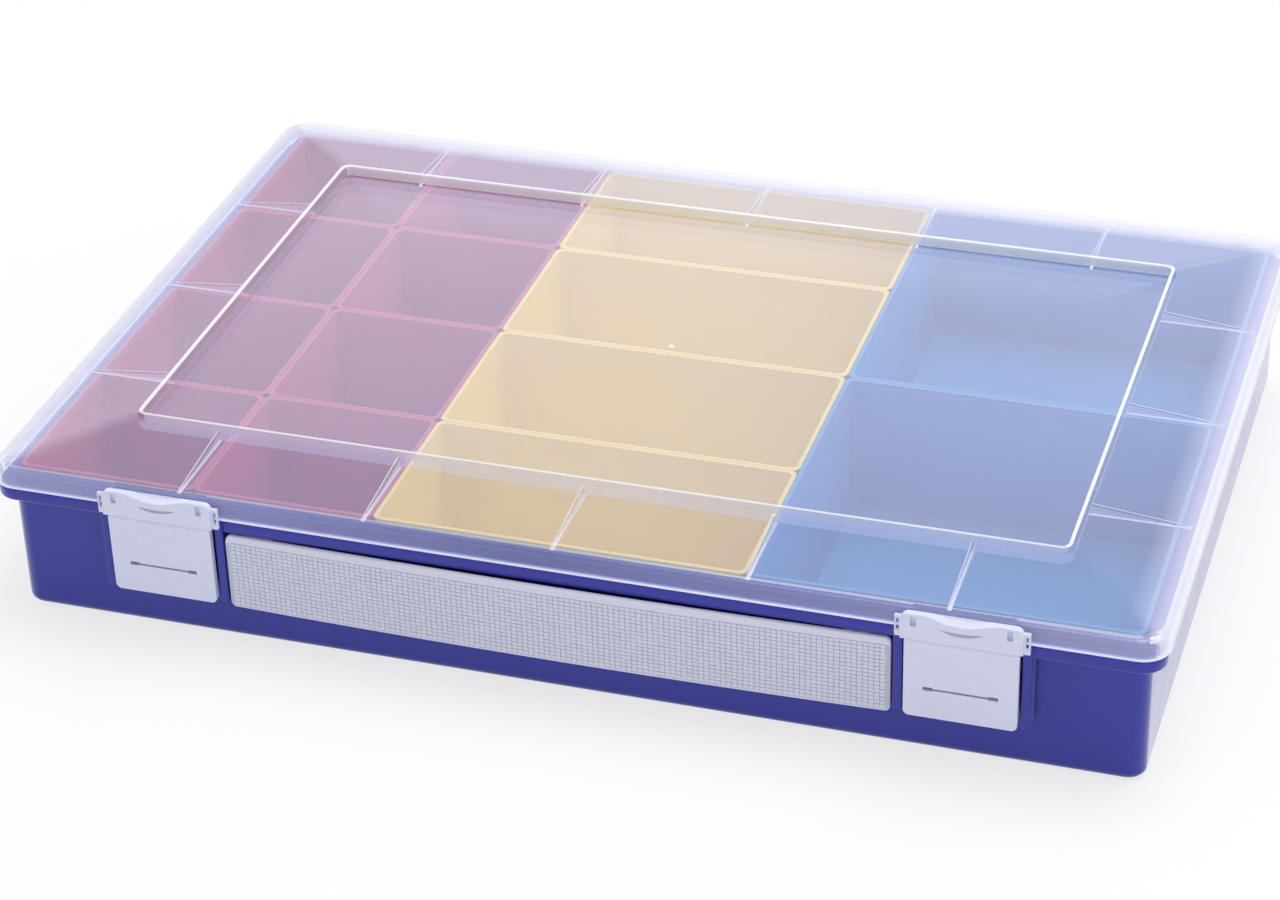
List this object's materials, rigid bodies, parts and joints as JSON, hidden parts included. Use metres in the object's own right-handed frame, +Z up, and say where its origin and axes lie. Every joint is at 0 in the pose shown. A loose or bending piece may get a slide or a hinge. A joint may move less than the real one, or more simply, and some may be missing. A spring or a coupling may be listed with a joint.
{
  "type": "compartment storage box",
  "caption": "Flat storage box with a hinged clear lid, snap latches, a carrying strap on the front and loose coloured bins for sorting small parts.",
  "frame": {"origin": "middle of the footprint, on the surface that the box stands on", "axes": "+X along the width to the right, -Y is the front with the latches, +Z up"},
  "size_m": [0.3308, 0.2324, 0.0505],
  "materials": {
    "tray_blue": "satin",
    "lid_clear": "frosted clear",
    "bin_red": "satin",
    "bin_yellow": "satin",
    "bin_blue": "satin",
    "latch_white": "satin",
    "strap_grey": "fine woven grain"
  },
  "bodies": {
    "base": {"base_tray": "tray_blue", "red_bin_1": "bin_red", "red_bin_2": "bin_red", "red_bin_3": "bin_red", "red_bin_4": "bin_red", "red_bin_5": "bin_red", "red_bin_6": "bin_red", "red_bin_7": "bin_red", "red_bin_8": "bin_red", "yellow_bin_1": "bin_yellow", "yellow_bin_2": "bin_yellow", "yellow_bin_3": "bin_yellow", "yellow_bin_4": "bin_yellow", "blue_bin_1": "bin_blue", "blue_bin_2": "bin_blue"},
    "lid": {"lid": "lid_clear", "latch_clip_left": "latch_white", "latch_clip_right": "latch_white"},
    "latch_left": {"latch_flap_left": "latch_white"},
    "latch_right": {"latch_flap_right": "latch_white"},
    "strap": {"carry_strap": "strap_grey"}
  },
  "joints": [
    {"name": "lid_hinge", "type": "hinge", "parent": "base", "child": "lid", "pos_m": [0, 0.114, 0.0411], "axis": [-1, 0, 0], "range_deg": [0, 110]},
    {"name": "latch_left_hinge", "type": "hinge", "parent": "lid", "child": "latch_left", "pos_m": [-0.1126, -0.113, 0.0379], "axis": [-1, 0, 0], "range_deg": [0, 90]},
    {"name": "latch_right_hinge", "type": "hinge", "parent": "lid", "child": "latch_right", "pos_m": [0.1126, -0.113, 0.0379], "axis": [-1, 0, 0], "range_deg": [0, 90]},
    {"name": "strap_pull", "type": "slide", "parent": "base", "child": "strap", "axis": [0, -1, 0], "range_m": [0, 0.014]}
  ]
}
